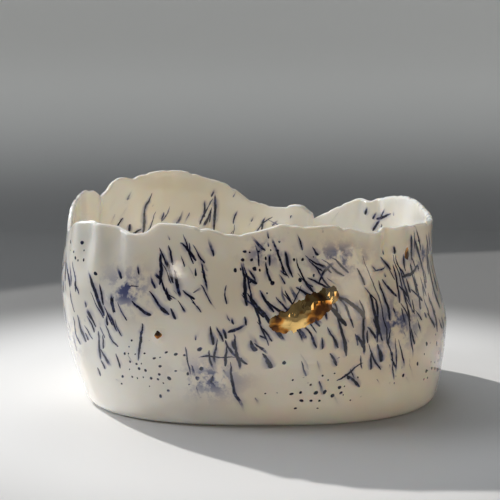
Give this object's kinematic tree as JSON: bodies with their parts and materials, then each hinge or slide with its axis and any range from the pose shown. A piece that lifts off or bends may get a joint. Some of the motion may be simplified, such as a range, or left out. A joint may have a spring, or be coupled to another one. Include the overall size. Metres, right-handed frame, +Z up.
{
  "type": "flower pot",
  "caption": "Low oval hand-built porcelain flower pot, open at the top, with a thin wavy rim that rises to a hump at the back, blue brush marks and a gold patch.",
  "frame": {"origin": "on the ground, under the middle of the pot's box", "axes": "+Z up, +X along the pot's length to the right as seen from the front, +Y to the back, where the rim is highest"},
  "size_m": [0.15, 0.1226, 0.0845],
  "materials": {
    "porcelain": "warm white glazed porcelain with cobalt blue brush marks and a patch of gold lustre"
  },
  "bodies": {
    "root": {"pot": "porcelain"}
  },
  "joints": []
}
